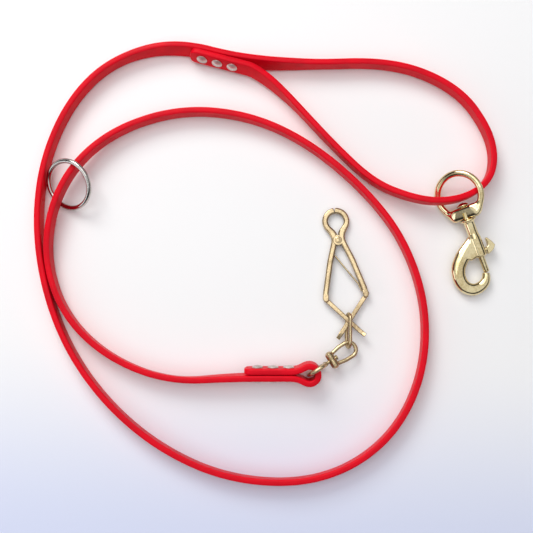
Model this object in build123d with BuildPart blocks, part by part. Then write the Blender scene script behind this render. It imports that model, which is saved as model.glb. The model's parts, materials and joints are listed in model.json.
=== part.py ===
"""Training leash: a flat coated strap with a riveted handle loop, a loose ring,
a swivel bolt snap on the handle, and a swivel, link and scissor clip on the far end.

Millimetres, +Z up. The leash lies on the plane z = 0 and its origin is the middle
of its footprint. The strap stands on its edge.
"""

import math
import os

from build123d import *

# ---- driving dimensions ----
STRAP_W = 13.0
STRAP_T = 4.2
LAYER_GAP = 0.4
REST_Z = 6.55
FOLD_R = 6.0
STATION_TURN = 9.0

CLIP_SEAM_AT = (5.2, -79.4, 10.0)
CLIP_SEAM_LEAN = 10.0
CLIP_RIVET_PITCH = 10.6
CLIP_TAB_END = 19.5
HANDLE_SEAM_AT = (-33.2, 142.4, 7.56)
HANDLE_SEAM_TURN = -15.0
HANDLE_SEAM_LEAN = 18.0
HANDLE_RIVET_PITCH = 11.0
HANDLE_TAB_END = -20.0

RIVET_HOLE_D = 3.0
RIVET_POST_D = 2.9
RIVET_CAP_D = 7.6
RIVET_CAP_H = 1.7
RIVET_RIM_H = 0.6

O_RING_R = 16.75
O_RING_WIRE = 3.5
O_RING_AT = (-136.9, 51.3, 11.0)
O_RING_NORMAL = (-0.39, -0.39, 0.834)

SNAP_AT = (133.8, 43.2, 10.2)
SNAP_HEADING = -70.0
SNAP_SLOPE = 5.7
SNAP_RING_R = 15.2
SNAP_RING_WIDE = 4.6
SNAP_RING_THICK = 3.8
SNAP_RING_TILT = 32.0
SNAP_PIN_D = 5.0
RUNNING = 0.05
SNAP_HEAD_D = 8.6
SNAP_FLANGE_D = 11.0
SNAP_NECK_D = 7.4
SNAP_BARREL_D = 8.6
SNAP_PLUNGER_D = 4.1
SNAP_TRAVEL = 11.0
HOOK_ROD_W = 8.6
HOOK_ROD_H = 6.8
HOOK_R = 9.0
HOOK_MIDDLE = -9.6
HOOK_END_X = 57.4
HOOK_WEB = ((31.0, 1.0), (44.4, 0.0), (44.6, -4.0), (45.6, -8.0), (43.0, -12.0), (38.0, -10.0), (33.0, -4.0))

SWIVEL_AT = (45.5, -70.1, 8.5)
SWIVEL_HEADING = 32.0
SWIVEL_SLOPE = 7.3
SWIVEL_WIRE = 2.8
SWIVEL_PIN_D = 2.4

LINK_WIRE = 2.4
LINK_LENGTH = 25.3
LINK_HEIGHT = 10.4
LINK_AT = (57.1, -49.95, 5.2)
LINK_HEADING = 89.1
LINK_LEAN = 15.0

CLIP_EYE_AT = (49.1, 26.3, 0.33)
CLIP_HEADING = -83.0
CLIP_RISE = 1.75
CLIP_T = 4.0
CLIP_EYE_R = 9.5
CLIP_HOLE_R = 5.5
CLIP_PIVOT_X = 13.6
CLIP_LUG_R = 3.7
CLIP_RIVET_D = 3.5
CLIP_LEG_W = 3.9
CLIP_BLADE_W = 3.1
CLIP_CROSS_X = 70.4
CLIP_CORNER_X = 54.4
CLIP_SEAM_GAP = 0.15


def lying_plane(at, heading, slope):
    """Plane whose x axis points along a heading and falls by a slope, with z upward."""
    turn = math.radians(heading)
    fall = math.radians(slope)
    along = Vector(math.cos(turn) * math.cos(fall), math.sin(turn) * math.cos(fall), -math.sin(fall))
    up = Vector(math.cos(turn) * math.sin(fall), math.sin(turn) * math.sin(fall), math.cos(fall))
    return Plane(origin=at, x_dir=along, z_dir=up)


def seam_plane(at, heading, lean):
    """Plane of a riveted seam: x along the strap, z through both layers, leaned from upright."""
    turn = math.radians(heading)
    tip = math.radians(lean)
    along = Vector(math.cos(turn), math.sin(turn), 0)
    flat = Vector(math.sin(turn), -math.cos(turn), 0)
    through = flat * math.cos(tip) + Vector(0, 0, 1) * math.sin(tip)
    return Plane(origin=at, x_dir=along, z_dir=through)


def profile_plane(base, x=0.0):
    """Plane for a turned profile: sketch x outward from the axis, sketch y along the base's z."""
    centre = base.from_local_coords(Vector(x, 0, 0))
    return Plane(origin=centre, x_dir=base.x_dir, z_dir=-base.y_dir)


def leaned(base, angle):
    """The same plane turned about its own x axis."""
    turn = math.radians(angle)
    normal = base.z_dir * math.cos(turn) - base.y_dir * math.sin(turn)
    return Plane(origin=base.origin, x_dir=base.x_dir, z_dir=normal)


CLIP_SEAM = seam_plane(CLIP_SEAM_AT, 180.0, CLIP_SEAM_LEAN)
HANDLE_SEAM = seam_plane(HANDLE_SEAM_AT, HANDLE_SEAM_TURN, HANDLE_SEAM_LEAN)
SNAP = lying_plane(SNAP_AT, SNAP_HEADING, SNAP_SLOPE)
SNAP_RING = leaned(SNAP, SNAP_RING_TILT)
SWIVEL = lying_plane(SWIVEL_AT, SWIVEL_HEADING, SWIVEL_SLOPE)
CLIP = lying_plane(CLIP_EYE_AT, CLIP_HEADING, -CLIP_RISE)

# ---- strap route ----
LAYER = (STRAP_T + LAYER_GAP) / 2
FOLD_OUT = FOLD_R / math.cos(math.radians(30))
FOLD_AT = -24.6


def clip_seam(x, z):
    return CLIP_SEAM.from_local_coords(Vector(x, 0, z))


def handle_seam(x, z):
    return HANDLE_SEAM.from_local_coords(Vector(x, 0, z))


FOLD = [
    clip_seam(CLIP_TAB_END, LAYER),
    clip_seam(FOLD_AT + 8.0, LAYER),
    clip_seam(FOLD_AT, FOLD_OUT),
    clip_seam(FOLD_AT - FOLD_R, FOLD_OUT / 2),
    clip_seam(FOLD_AT - FOLD_R, -FOLD_OUT / 2),
    clip_seam(FOLD_AT, -FOLD_OUT),
    clip_seam(FOLD_AT + 8.0, -LAYER),
]
SPIRAL = [
    clip_seam(26, -LAYER), (-66, -84.9, 7.0), (-109, -68, REST_Z), (-139, -39, REST_Z),
    (-152.3, -2, 6.9), (-148.6, 35, 10.6), (-132, 67.5, 10.8), (-102, 92.8, 6.9),
    (-58, 105.6, REST_Z), (-12, 101, REST_Z), (29, 82, REST_Z), (67.5, 49.5, REST_Z),
    (95, 14, REST_Z), (110, -31, REST_Z), (108, -77, REST_Z), (90, -116, REST_Z),
    (59, -142, REST_Z), (20, -153.3, REST_Z), (-28, -149, REST_Z), (-71, -130, REST_Z),
    (-107, -101, REST_Z), (-135, -64, REST_Z), (-152.5, -21, REST_Z), (-159.8, 26, REST_Z),
    (-155, 72, REST_Z), (-136, 115, REST_Z), (-106.5, 142.5, 6.7),
]
JOINT = [handle_seam(-32.5, -LAYER), handle_seam(20.5, -LAYER)]
HANDLE = [
    (36, 137.6, 6.9), (78, 139.0, REST_Z), (110, 132.2, REST_Z), (138.5, 115.5, REST_Z),
    (154.6, 91, REST_Z), (159.4, 71, 6.9), (155, 53.4, 8.2), (140.5, 42.4, 9.8),
    (121, 38, 11.4), (101.5, 41, 9.6), (75.5, 52, 7.0), (49.5, 77, REST_Z), (14, 116.5, 6.8),
]
TAB = [handle_seam(27.5, LAYER), handle_seam(HANDLE_TAB_END, LAYER)]
ROUTE = [Vector(*point) for point in FOLD + SPIRAL + JOINT + HANDLE + TAB]
TIGHT_RADII = {
    1: 8.0,
    len(FOLD) - 1: 8.0,
    len(FOLD): 200.0,
    len(FOLD + SPIRAL): 62.0,
    len(FOLD + SPIRAL) + 1: 55.0,
    len(ROUTE) - 2: 48.0,
}


def bend_radii(points):
    """Radius of the arc at every corner of the route."""
    radii = []
    corners = zip(points, points[1:], points[2:])
    for number, (before, corner, after) in enumerate(corners, start=1):
        first = corner - before
        second = after - corner
        half_turn = math.radians(first.get_angle(second)) / 2
        radius = 0.45 * min(first.length, second.length) / math.tan(half_turn)
        radii.append(min(radius, TIGHT_RADII.get(number, radius)))
    return radii


def stations(path):
    """Places along the path: distance, point and direction, closer together in arcs."""
    places = []
    start = 0.0
    for edge in path.edges():
        count = 1
        if edge.geom_type == GeomType.CIRCLE:
            turned = math.degrees(edge.length / edge.radius)
            count = max(1, math.ceil(turned / STATION_TURN))
        for step in range(count):
            places.append((start + edge.length * step / count, edge @ (step / count), edge % (step / count)))
        start += edge.length
    places.append((start, path @ 1, path % 1))
    return places


def fade(distance, reach):
    """Falls smoothly from one to zero over the reach."""
    share = 1 - max(0.0, min(1.0, distance / reach))
    return share * share * (3 - 2 * share)


def dome_middle(radius, low, high):
    """Point halfway out on a shallow dome whose centre is on the axis."""
    rise = high - low
    ball = (radius * radius + rise * rise) / (2 * abs(rise))
    drop = ball - math.sqrt(ball * ball - radius * radius / 4)
    return (radius / 2, high - math.copysign(drop, rise))


def upright(seam):
    """The seam's width direction, pointing up."""
    return seam.y_dir if seam.y_dir.Z > 0 else -seam.y_dir


def build_strap():
    """The strap: rectangular sections lofted along the route, drilled at both seams."""
    radii = bend_radii(ROUTE)
    path = FilletPolyline(*ROUTE, radius=radii)
    places = stations(path)
    with BuildPart() as strap:
        for where, point, tangent in places:
            at_clip = fade(where - 105, 60)
            at_handle = 0.0
            if where > path.length / 2:
                at_handle = fade((point - HANDLE_SEAM.origin).length - 26, 50)
            width = Vector(0, 0, 1) * (1 - max(at_clip, at_handle))
            width = width + upright(CLIP_SEAM) * at_clip + upright(HANDLE_SEAM) * at_handle
            side = tangent.cross(width).normalized()
            with BuildSketch(Plane(origin=point, x_dir=side, z_dir=tangent)):
                Rectangle(STRAP_T, STRAP_W)
        loft(ruled=True)
        for seam, pitch in ((CLIP_SEAM, CLIP_RIVET_PITCH), (HANDLE_SEAM, HANDLE_RIVET_PITCH)):
            with BuildSketch(seam.offset(-LAYER - STRAP_T)):
                with Locations((-pitch, 0), (0, 0), (pitch, 0)):
                    Circle(RIVET_HOLE_D / 2)
            extrude(amount=2 * (LAYER + STRAP_T), mode=Mode.SUBTRACT)
        with BuildSketch(HANDLE_SEAM.offset(LAYER_GAP / 2)):
            with Locations((HANDLE_TAB_END + 1.4, 0)):
                Rectangle(3.0, STRAP_W + 2)
            with Locations((HANDLE_TAB_END + STRAP_W * 0.62, 0)):
                Circle(STRAP_W * 0.62, mode=Mode.SUBTRACT)
        extrude(amount=STRAP_T, mode=Mode.SUBTRACT)
        with BuildSketch(CLIP_SEAM.offset(LAYER_GAP / 2)):
            Polygon((CLIP_TAB_END + 0.1, -7), (CLIP_TAB_END + 0.1, -2), (CLIP_TAB_END - 3.5, -7), align=None)
            Polygon((CLIP_TAB_END + 0.1, 7), (CLIP_TAB_END + 0.1, 5), (CLIP_TAB_END - 1.5, 7), align=None)
        extrude(amount=STRAP_T, mode=Mode.SUBTRACT)
    print("strap length", round(path.length, 1), "mm")
    print("strap radii", [round(radius) for radius in radii])
    print("strap volume", round(strap.part.volume), "of", round(path.length * STRAP_W * STRAP_T))
    strap.part.label = "strap"
    return strap.part


def build_rivet_post(seam, x, name):
    """Rivet half with a low domed head and a shank through both layers."""
    face = -(LAYER + STRAP_T / 2)
    tip = -face + RIVET_RIM_H
    base = profile_plane(seam, x)
    with BuildPart() as post:
        with BuildSketch(base):
            with BuildLine():
                Line((0, tip), (RIVET_POST_D / 2, tip))
                Line((RIVET_POST_D / 2, tip), (RIVET_POST_D / 2, face))
                Line((RIVET_POST_D / 2, face), (RIVET_CAP_D / 2, face))
                Line((RIVET_CAP_D / 2, face), (RIVET_CAP_D / 2, face - RIVET_RIM_H))
                ThreePointArc((RIVET_CAP_D / 2, face - RIVET_RIM_H),
                              dome_middle(RIVET_CAP_D / 2, face - RIVET_RIM_H, face - RIVET_CAP_H),
                              (0, face - RIVET_CAP_H))
                Line((0, face - RIVET_CAP_H), (0, tip))
            make_face()
        revolve(axis=Axis(base.origin, seam.z_dir))
    post.part.label = name
    return post.part


def build_rivet_cap(seam, x, name):
    """Rivet half with a low domed head, pressed on the end of the post."""
    face = LAYER + STRAP_T / 2
    base = profile_plane(seam, x)
    with BuildPart() as cap:
        with BuildSketch(base):
            with BuildLine():
                Line((RIVET_POST_D / 2, face), (RIVET_CAP_D / 2, face))
                Line((RIVET_CAP_D / 2, face), (RIVET_CAP_D / 2, face + RIVET_RIM_H))
                ThreePointArc((RIVET_CAP_D / 2, face + RIVET_RIM_H),
                              dome_middle(RIVET_CAP_D / 2, face + RIVET_RIM_H, face + RIVET_CAP_H),
                              (0, face + RIVET_CAP_H))
                Line((0, face + RIVET_CAP_H), (0, face + RIVET_RIM_H))
                Line((0, face + RIVET_RIM_H), (RIVET_POST_D / 2, face + RIVET_RIM_H))
                Line((RIVET_POST_D / 2, face + RIVET_RIM_H), (RIVET_POST_D / 2, face))
            make_face()
        revolve(axis=Axis(base.origin, seam.z_dir))
    cap.part.label = name
    return cap.part


def build_o_ring():
    """The loose ring of round wire."""
    with BuildPart(Plane(origin=O_RING_AT, z_dir=O_RING_NORMAL)) as ring:
        Torus(O_RING_R, O_RING_WIRE / 2)
    ring.part.label = "o_ring"
    return ring.part


def build_snap_eye():
    """The snap's ring, with a bored block for the swivel pin."""
    half = SNAP_RING_THICK / 2 + 2.0
    with BuildPart() as eye:
        with BuildSketch(SNAP_RING.offset(-half)):
            Polygon((8.2, -5.4), (8.2, 5.4), (10.4, 10.4), (14.6, 9.4), (17.6, 6.4),
                    (17.6, -6.4), (14.6, -9.4), (10.4, -10.4), align=None)
        extrude(amount=2 * half)
        chamfer(eye.edges().filter_by(lambda edge: abs((edge % 0.5).dot(SNAP_RING.z_dir)) < 0.5), length=1.2)
        with BuildSketch(profile_plane(SNAP_RING)):
            with Locations((SNAP_RING_R, 0)):
                Ellipse(SNAP_RING_WIDE / 2, SNAP_RING_THICK / 2)
        revolve(axis=Axis(SNAP_RING.origin, SNAP_RING.z_dir))
        with BuildSketch(Plane(origin=SNAP.origin, x_dir=SNAP.y_dir, z_dir=SNAP.x_dir)):
            Circle(SNAP_PIN_D / 2 + RUNNING)
        extrude(amount=20, mode=Mode.SUBTRACT)
        with BuildSketch(Plane(origin=SNAP.from_local_coords(Vector(3.0, 0, 0)),
                               x_dir=SNAP.y_dir, z_dir=SNAP.x_dir)):
            Circle(SNAP_HEAD_D / 2 + 0.3)
        extrude(amount=5.2, mode=Mode.SUBTRACT)
    eye.part.label = "snap_eye"
    return eye.part


def build_snap_body():
    """The snap's swivel pin, neck, barrel and hook, bored for the plunger and slotted for its knob."""
    turned = Plane(origin=SNAP.origin, x_dir=SNAP.x_dir, z_dir=SNAP.z_dir)
    pin = SNAP_PIN_D / 2
    head = SNAP_HEAD_D / 2
    neck = SNAP_NECK_D / 2
    barrel = SNAP_BARREL_D / 2
    with BuildPart() as body:
        with BuildSketch(turned):
            with BuildLine():
                middle = dome_middle(head, 7.6, 5.8)
                ThreePointArc((5.8, 0), (middle[1], middle[0]), (7.6, head))
                Polyline((7.6, head), (8.0, head), (8.0, pin), (17.8, pin), (17.8, SNAP_FLANGE_D / 2),
                         (19.1, SNAP_FLANGE_D / 2), (19.1, neck + 0.4), (19.7, neck + 0.4), (19.7, neck),
                         (30.5, neck), (32.5, barrel), (44.4, barrel), (45.0, barrel - 0.6), (45.0, 0),
                         (5.8, 0))
            make_face()
        revolve(axis=Axis(SNAP.origin, SNAP.x_dir))
        with BuildLine(SNAP) as rod:
            bend = FilletPolyline((31.0, 0.0), (40.6, -13.4), (46.6, HOOK_MIDDLE - HOOK_R),
                                  (HOOK_END_X, HOOK_MIDDLE - HOOK_R), radius=8.0)
            ThreePointArc(bend @ 1, (HOOK_END_X + HOOK_R, HOOK_MIDDLE), (HOOK_END_X, HOOK_MIDDLE + HOOK_R))
            Line((HOOK_END_X, HOOK_MIDDLE + HOOK_R), (HOOK_END_X - 0.9, HOOK_MIDDLE + HOOK_R))
        with BuildSketch(Plane(origin=rod.line @ 0, x_dir=SNAP.z_dir, z_dir=rod.line % 0)):
            Ellipse(HOOK_ROD_H / 2, HOOK_ROD_W / 2)
        sweep(path=rod.line)
        with BuildSketch(SNAP.offset(-2.9)):
            Polygon(*HOOK_WEB, align=None)
        extrude(amount=5.8)
        with BuildSketch(Plane(origin=SNAP.from_local_coords(Vector(20.0, 0, 0)),
                               x_dir=SNAP.y_dir, z_dir=SNAP.x_dir)):
            Circle(SNAP_PLUNGER_D / 2 + RUNNING)
        extrude(amount=36.4, mode=Mode.SUBTRACT)
        with BuildSketch(SNAP.offset(-1.6)):
            with Locations((36.0, 4.0)):
                Rectangle(14.4, 8.0)
        extrude(amount=3.2, mode=Mode.SUBTRACT)
    body.part.label = "snap_body"
    return body.part


def build_snap_plunger():
    """The round bolt that closes the hook."""
    with BuildPart() as plunger:
        with BuildSketch(Plane(origin=SNAP.from_local_coords(Vector(37.0, 0, 0)),
                               x_dir=SNAP.y_dir, z_dir=SNAP.x_dir)):
            Circle(SNAP_PLUNGER_D / 2)
        extrude(amount=19.3)
        chamfer(plunger.faces().sort_by(Axis(SNAP.origin, SNAP.x_dir))[-1].edges(), length=0.5)
        with BuildSketch(Plane(origin=SNAP.from_local_coords(Vector(41.5, 0, 0)),
                               x_dir=SNAP.x_dir, z_dir=SNAP.y_dir)):
            Circle(1.1)
        extrude(amount=3.0, mode=Mode.SUBTRACT)
    plunger.part.label = "snap_plunger"
    return plunger.part


def build_snap_knob():
    """The thumb piece: a stem pressed in the plunger and a wedge pad."""
    with BuildPart() as knob:
        with BuildSketch(SNAP.offset(-2.2)):
            Polygon((33.6, 7.7), (40.5, 11.6), (43.6, 8.7), (45.1, 4.9), (40.0, 4.9), (39.0, 7.0), (34.4, 6.7),
                    align=None)
        extrude(amount=4.4)
        with BuildSketch(Plane(origin=SNAP.from_local_coords(Vector(41.5, 2.3, 0)),
                               x_dir=SNAP.x_dir, z_dir=SNAP.y_dir)):
            Circle(1.5)
        extrude(amount=4.0)
        with BuildSketch(Plane(origin=SNAP.from_local_coords(Vector(41.5, 0, 0)),
                               x_dir=SNAP.x_dir, z_dir=SNAP.y_dir)):
            Circle(1.1)
        extrude(amount=3.0)
    knob.part.label = "snap_thumb_knob"
    return knob.part


def build_snap_spring():
    """The coil spring behind the plunger, as a thin tube."""
    with BuildPart() as spring:
        with BuildSketch(Plane(origin=SNAP.from_local_coords(Vector(20.05, 0, 0)),
                               x_dir=SNAP.y_dir, z_dir=SNAP.x_dir)):
            Circle(SNAP_PLUNGER_D / 2 - 0.1)
            Circle(SNAP_PLUNGER_D / 2 - 0.7, mode=Mode.SUBTRACT)
        extrude(amount=16.9)
    spring.part.label = "snap_spring"
    return spring.part


def build_swivel_strap_eye():
    """The swivel's tall wire eye that goes through the strap's fold, with its pin and pin head."""
    upright_plane = Plane(origin=SWIVEL.origin, x_dir=SWIVEL.x_dir, z_dir=-SWIVEL.y_dir)
    with BuildPart() as eye:
        with BuildLine(upright_plane) as wire:
            FilletPolyline((-18.6, 8.7), (-18.6, -8.5), (-6.2, -8.5), (-6.2, 8.7), radius=5.0, close=True)
        with BuildSketch(Plane(origin=wire.line @ 0, x_dir=SWIVEL.y_dir, z_dir=wire.line % 0)):
            Circle(SWIVEL_WIRE / 2)
        sweep(path=wire.line)
        with BuildSketch(Plane(origin=SWIVEL.from_local_coords(Vector(-6.2, 0, 0)),
                               x_dir=SWIVEL.y_dir, z_dir=SWIVEL.x_dir)):
            Circle(SWIVEL_PIN_D / 2)
        extrude(amount=9.6)
        with BuildSketch(Plane(origin=SWIVEL.from_local_coords(Vector(3.1, 0, 0)),
                               x_dir=SWIVEL.y_dir, z_dir=SWIVEL.x_dir)):
            Circle(1.9)
        extrude(amount=1.2)
    eye.part.label = "swivel_strap_eye"
    return eye.part


def build_swivel_link_eye():
    """The swivel's crossbar collar and the open teardrop of wire that carries the link."""
    with BuildPart() as eye:
        with BuildSketch(Plane(origin=SWIVEL.from_local_coords(Vector(0, -6.3, 0)),
                               x_dir=SWIVEL.x_dir, z_dir=SWIVEL.y_dir)):
            Circle(2.8)
        extrude(amount=12.6)
        fillet(eye.faces().filter_by(GeomType.PLANE).edges(), radius=2.0)
        with BuildLine(SWIVEL) as wire:
            FilletPolyline((0.3, -4.0), (9.5, -5.1), (18.6, -5.1), (18.6, 5.1), (9.5, 5.1), (0.3, 4.0),
                           radius=5.0)
        with BuildSketch(Plane(origin=wire.line @ 0, x_dir=SWIVEL.z_dir, z_dir=wire.line % 0)):
            Circle(SWIVEL_WIRE / 2)
        sweep(path=wire.line)
        with BuildSketch(Plane(origin=SWIVEL.from_local_coords(Vector(-4.0, 0, 0)),
                               x_dir=SWIVEL.y_dir, z_dir=SWIVEL.x_dir)):
            Circle(SWIVEL_PIN_D / 2 + RUNNING)
        extrude(amount=8.0, mode=Mode.SUBTRACT)
        with BuildSketch(Plane(origin=SWIVEL.from_local_coords(Vector(2.95, 0, 0)),
                               x_dir=SWIVEL.y_dir, z_dir=SWIVEL.x_dir)):
            Circle(2.1)
        extrude(amount=2.0, mode=Mode.SUBTRACT)
    eye.part.label = "swivel_link_eye"
    return eye.part


def build_clip_link():
    """The long wire link between the swivel and the clip, standing on its edge."""
    turn = math.radians(LINK_HEADING)
    lean = math.radians(LINK_LEAN)
    along = Vector(math.cos(turn), math.sin(turn), 0)
    normal = Vector(math.sin(turn) * math.cos(lean), -math.cos(turn) * math.cos(lean), -math.sin(lean))
    link_plane = Plane(origin=LINK_AT, x_dir=along, z_dir=normal)
    radius = (LINK_HEIGHT - LINK_WIRE) / 2
    half = (LINK_LENGTH - LINK_WIRE) / 2 - radius
    with BuildPart() as link:
        with BuildLine(link_plane) as wire:
            Line((-half, radius), (half, radius))
            ThreePointArc((half, radius), (half + radius, 0), (half, -radius))
            Line((half, -radius), (-half, -radius))
            ThreePointArc((-half, -radius), (-half - radius, 0), (-half, radius))
        with BuildSketch(Plane(origin=wire.line @ 0, x_dir=link_plane.z_dir, z_dir=wire.line % 0)):
            Circle(LINK_WIRE / 2)
        sweep(path=wire.line)
    link.part.label = "clip_link"
    return link.part


def build_clip_half(hand, name):
    """One half of the scissor clip: half eye, lug, leg, corner and blade. Hand -1 is left, 1 right."""
    reach = CLIP_CROSS_X - CLIP_CORNER_X
    aim = math.atan2(13.5, reach)
    gap = CLIP_SEAM_GAP
    lug_low = 0.0 if hand < 0 else CLIP_T / 2 + 0.05
    with BuildPart() as half:
        with BuildSketch(CLIP):
            Circle(CLIP_EYE_R)
            Polygon((4.0, hand * gap), (4.0, hand * 8.2), (9.5, hand * 5.3), (15.4, hand * 5.2),
                    (17.5, hand * 2.2), (13.6, hand * gap), align=None)
            Circle(CLIP_HOLE_R, mode=Mode.SUBTRACT)
            Polygon((7.6, 0), (3.6, 4.16), (3.6, -4.16), align=None, mode=Mode.SUBTRACT)
            with Locations((0, -hand * (10 - gap))):
                Rectangle(40, 20, mode=Mode.SUBTRACT)
        extrude(amount=CLIP_T)
        with BuildSketch(CLIP):
            Polygon((13.0, hand * 1.4), (14.6, hand * 5.4), (CLIP_CORNER_X - 1.7, hand * 15.9),
                    (CLIP_CORNER_X + 1.2, hand * 14.9), (CLIP_CORNER_X - 1.1, hand * 12.0),
                    (CLIP_CORNER_X - 1.9, hand * 12.0), align=None)
        extrude(amount=CLIP_T)
        with BuildSketch(CLIP.offset(2.0 if hand < 0 else 0.4)):
            with Locations(Location((CLIP_CORNER_X - 0.3, hand * 13.75), -hand * math.degrees(aim))):
                Rectangle(36.0, CLIP_BLADE_W, align=(Align.MIN, Align.CENTER))
        extrude(amount=1.4)
        with BuildSketch(CLIP.offset(CLIP_T / 2 - 0.05 if hand < 0 else 0.0)):
            with Locations((CLIP_PIVOT_X, 0)):
                Circle(CLIP_LUG_R + 0.15)
        extrude(amount=CLIP_T / 2 + 0.05, mode=Mode.SUBTRACT)
        with BuildSketch(CLIP.offset(lug_low)):
            with Locations((CLIP_PIVOT_X, 0)):
                Circle(CLIP_LUG_R)
        extrude(amount=CLIP_T / 2 - 0.05)
        with BuildSketch(CLIP):
            with Locations((CLIP_PIVOT_X, 0)):
                Circle(CLIP_RIVET_D / 2 + RUNNING)
        extrude(amount=CLIP_T, mode=Mode.SUBTRACT)
        if hand < 0:
            with BuildSketch(CLIP):
                with Locations((CLIP_PIVOT_X, 0)):
                    Circle(2.5)
            extrude(amount=0.7, mode=Mode.SUBTRACT)
    half.part.label = name
    return half.part


def build_clip_rivet():
    """The clip's pivot rivet, flat head below and low dome above."""
    base = profile_plane(CLIP, CLIP_PIVOT_X)
    pin = CLIP_RIVET_D / 2
    with BuildPart() as rivet:
        with BuildSketch(base):
            with BuildLine():
                Polyline((0, 0.1), (2.4, 0.1), (2.4, 0.6), (pin, 0.6), (pin, CLIP_T + 0.1),
                         (2.4, CLIP_T + 0.1), (2.4, CLIP_T + 0.35))
                ThreePointArc((2.4, CLIP_T + 0.35), dome_middle(2.4, CLIP_T + 0.35, CLIP_T + 0.75),
                              (0, CLIP_T + 0.75))
                Line((0, CLIP_T + 0.75), (0, 0.1))
            make_face()
        revolve(axis=Axis(base.origin, CLIP.z_dir))
    rivet.part.label = "clip_rivet"
    return rivet.part


def build_leaf_spring():
    """The flat spring between the clip's legs, fixed to the right leg."""
    with BuildPart() as spring:
        with BuildLine(CLIP.offset(0.6)) as bend:
            FilletPolyline((24.0, -3.8), (36.8, 4.1), (45.4, 9.7), (50.8, 11.15), radius=9.0)
        with BuildSketch(Plane(origin=bend.line @ 0, x_dir=CLIP.z_dir, z_dir=bend.line % 0)):
            with Locations((1.4, 0)):
                Rectangle(2.8, 0.7)
        sweep(path=bend.line)
    spring.part.label = "clip_leaf_spring"
    return spring.part


def build_all():
    """Every sub-part in order."""
    parts = [build_strap()]
    for place, seam, pitch in (("handle", HANDLE_SEAM, HANDLE_RIVET_PITCH),
                               ("clip_end", CLIP_SEAM, CLIP_RIVET_PITCH)):
        for number in range(3):
            x = (number - 1) * pitch
            parts.append(build_rivet_post(seam, x, f"{place}_rivet_{number + 1}_post"))
            parts.append(build_rivet_cap(seam, x, f"{place}_rivet_{number + 1}_cap"))
    parts.append(build_o_ring())
    parts.append(build_snap_eye())
    parts.append(build_snap_body())
    parts.append(build_snap_plunger())
    parts.append(build_snap_knob())
    parts.append(build_snap_spring())
    parts.append(build_swivel_strap_eye())
    parts.append(build_swivel_link_eye())
    parts.append(build_clip_link())
    parts.append(build_clip_half(-1, "clip_left_half"))
    parts.append(build_clip_half(1, "clip_right_half"))
    parts.append(build_clip_rivet())
    parts.append(build_leaf_spring())
    return parts


os.makedirs("parts", exist_ok=True)
for part in build_all():
    bounds = part.bounding_box()
    print(part.label, len(part.solids()), part.is_valid, round(part.volume, 1),
          [round(value, 1) for value in (*bounds.min, *bounds.max)])
    export_step(part, f"parts/{part.label}.step")
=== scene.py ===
"""Training leash dressed for show: strap, rivets, loose ring, bolt snap, swivel, link and scissor clip."""

from __future__ import annotations

import json
import logging
import math
from dataclasses import dataclass, field
from functools import cache

import bpy
import numpy as np
from mathutils import Matrix, Vector

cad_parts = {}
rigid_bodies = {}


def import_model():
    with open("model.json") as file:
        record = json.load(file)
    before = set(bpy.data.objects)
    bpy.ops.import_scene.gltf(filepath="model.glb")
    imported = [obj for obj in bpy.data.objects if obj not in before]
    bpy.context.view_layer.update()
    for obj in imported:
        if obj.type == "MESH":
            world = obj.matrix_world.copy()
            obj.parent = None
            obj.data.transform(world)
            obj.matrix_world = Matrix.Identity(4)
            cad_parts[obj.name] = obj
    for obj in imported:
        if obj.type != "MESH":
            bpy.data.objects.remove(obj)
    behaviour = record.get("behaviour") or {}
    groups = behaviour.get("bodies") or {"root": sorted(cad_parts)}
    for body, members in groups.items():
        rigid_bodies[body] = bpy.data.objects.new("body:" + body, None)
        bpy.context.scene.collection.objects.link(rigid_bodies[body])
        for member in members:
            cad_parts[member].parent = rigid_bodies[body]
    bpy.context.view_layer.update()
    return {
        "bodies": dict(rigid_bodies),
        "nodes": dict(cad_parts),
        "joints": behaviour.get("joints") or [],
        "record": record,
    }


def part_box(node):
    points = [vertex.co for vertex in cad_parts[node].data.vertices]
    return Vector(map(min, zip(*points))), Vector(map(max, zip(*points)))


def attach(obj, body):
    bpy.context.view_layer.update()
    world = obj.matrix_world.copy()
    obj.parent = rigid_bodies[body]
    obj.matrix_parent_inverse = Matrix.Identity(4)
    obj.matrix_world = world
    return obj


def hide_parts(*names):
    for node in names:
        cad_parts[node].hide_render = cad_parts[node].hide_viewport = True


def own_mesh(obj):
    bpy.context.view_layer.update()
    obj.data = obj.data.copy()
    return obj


logging.basicConfig(level=logging.INFO, format="%(name)s: %(message)s")
log = logging.getLogger("leash")

MM = 0.001
Points = np.ndarray


# ---------------------------------------------------------------- surfaces


@dataclass
class Surface:
    """Vertices in metres, faces and one UV pair for each face corner."""

    points: Points
    faces: list[list[int]]
    corners: Points

    def joined(self, *others: "Surface") -> "Surface":
        """This surface and the others as one set of shells."""
        points, faces, corners = [self.points], list(self.faces), [self.corners]
        start = len(self.points)
        for other in others:
            points.append(other.points)
            faces.extend([[start + index for index in face] for face in other.faces])
            corners.append(other.corners)
            start += len(other.points)
        return Surface(np.concatenate(points), faces, np.concatenate(corners))


def signed_volume(points: Points, quads: Points, caps: list[list[int]]) -> float:
    """Volume enclosed by the faces, positive when they point outwards.

    Formula: the sum over triangles of the triple product of their corners, over six.
    """
    first, second, third, fourth = (points[quads[:, k]] for k in range(4))
    total = np.einsum("ij,ij->", first, np.cross(second, third))
    total += np.einsum("ij,ij->", first, np.cross(third, fourth))
    for cap in caps:
        ring = points[np.array(cap)]
        fan = np.cross(ring[1:-1], ring[2:])
        total += float((fan @ ring[0]).sum())
    return total / 6.0


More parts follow.
